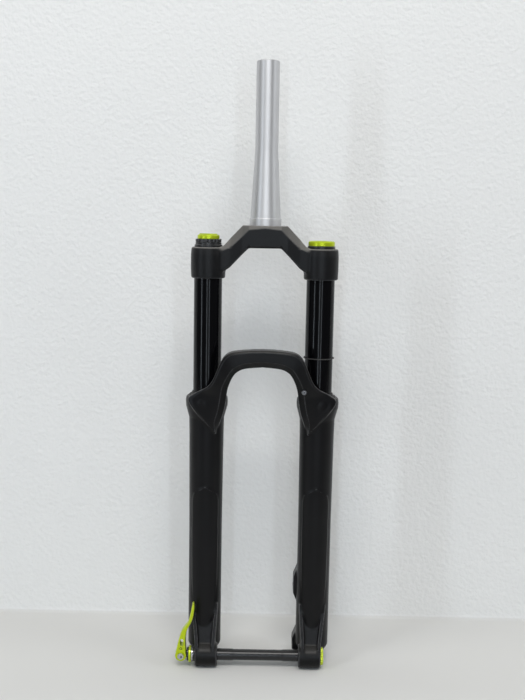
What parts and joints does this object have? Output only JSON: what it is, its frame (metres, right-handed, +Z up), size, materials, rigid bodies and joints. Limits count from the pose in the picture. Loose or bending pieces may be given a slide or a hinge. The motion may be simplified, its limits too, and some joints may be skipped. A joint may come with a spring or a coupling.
{
  "type": "bicycle suspension fork",
  "caption": "Telescopic bicycle fork: tapered steerer, single crown, sliding legs joined by an arch, damper and air spring inside, through-axle with quick-release lever.",
  "frame": {"origin": "on the steerer axis, in the plane of the crown race seat (top of the crown)", "axes": "+Z up along the steerer, -Y to the front of the fork (the side with the arch and axle), +X to the brake and air-spring leg"},
  "size_m": [0.2021, 0.0849, 0.7609],
  "materials": {
    "satin_black": "satin black paint",
    "gloss_black": "gloss black anodised",
    "black_alloy": "black anodised",
    "bare_aluminium": "turned satin aluminium",
    "steel": "polished",
    "lime_anodised": "lime green anodised",
    "bronze": "sintered bronze",
    "seal_rubber": "matt black rubber",
    "elastomer": "urethane",
    "foam": "open-cell foam"
  },
  "bodies": {
    "crown_unit": {"steerer_tube": "bare_aluminium", "crown": "satin_black", "stanchion_left": "gloss_black", "stanchion_right": "gloss_black", "damper_top_cap": "black_alloy", "damper_cartridge": "bare_aluminium", "compression_piston": "bronze", "damper_seal_head": "steel", "air_top_cap": "black_alloy", "air_valve": "steel", "air_seal_head": "black_alloy", "seal_head_circlip": "steel", "top_out_bumper": "elastomer"},
    "lowers": {"lower_casting": "satin_black", "wiper_seal_left": "seal_rubber", "wiper_seal_right": "seal_rubber", "foam_ring_left": "foam", "foam_ring_right": "foam", "bushing_upper_left": "bronze", "bushing_upper_right": "bronze", "bushing_lower_left": "bronze", "bushing_lower_right": "bronze", "crush_washer_left": "bare_aluminium", "crush_washer_right": "bare_aluminium", "foot_bolt_left": "steel", "foot_bolt_right": "steel", "axle_nut": "lime_anodised", "hose_guide_screw": "steel", "damper_rod": "steel", "rebound_piston": "bronze", "air_shaft": "steel", "air_piston": "black_alloy", "bottom_out_bumper": "elastomer"},
    "low_speed_adjuster": {"low_speed_knob": "lime_anodised", "low_speed_needle": "steel"},
    "high_speed_adjuster": {"high_speed_dial": "black_alloy"},
    "rebound_adjuster": {"rebound_knob": "lime_anodised", "rebound_needle": "steel"},
    "valve_cover": {"air_cap": "lime_anodised"},
    "travel_marker": {"travel_ring": "seal_rubber"},
    "through_axle": {"axle_shaft": "black_alloy", "axle_spacer": "black_alloy", "serrated_washer": "steel", "cup_washer": "lime_anodised", "cam_follower": "black_alloy", "lever_pivot_bolt": "steel"},
    "axle_lever": {"lever": "lime_anodised"}
  },
  "joints": [
    {"name": "fork_travel", "type": "slide", "parent": "crown_unit", "child": "lowers", "axis": [0, 0, 1], "range_m": [0, 0.14], "stiffness_N_per_m": 6000, "springref_m": -0.015},
    {"name": "travel_ring_slide", "type": "slide", "parent": "crown_unit", "child": "travel_marker", "axis": [0, 0, 1], "range_m": [0, 0.0965]},
    {"name": "low_speed_turn", "type": "hinge", "parent": "crown_unit", "child": "low_speed_adjuster", "pos_m": [-0.07, -0.017, -0.015], "axis": [0, 0, 1], "range_deg": [0, 150]},
    {"name": "high_speed_turn", "type": "hinge", "parent": "crown_unit", "child": "high_speed_adjuster", "pos_m": [-0.07, -0.017, -0.02], "axis": [0, 0, 1], "range_deg": [0, 300]},
    {"name": "rebound_turn", "type": "hinge", "parent": "lowers", "child": "rebound_adjuster", "pos_m": [-0.07, -0.017, -0.55], "axis": [0, 0, 1], "range_deg": [0, 300]},
    {"name": "valve_cover_lift", "type": "slide", "parent": "crown_unit", "child": "valve_cover", "axis": [0, 0, 1], "range_m": [0, 0.03]},
    {"name": "axle_pull", "type": "slide", "parent": "lowers", "child": "through_axle", "axis": [-1, 0, 0], "range_m": [0, 0.17]},
    {"name": "lever_flip", "type": "hinge", "parent": "through_axle", "child": "axle_lever", "pos_m": [-0.0982, -0.044, -0.546], "axis": [0, -1, 0], "range_deg": [0, 165]}
  ],
  "couplings": [
    {"joint": "travel_ring_slide", "follows": "fork_travel", "ratio": 0.6885}
  ]
}
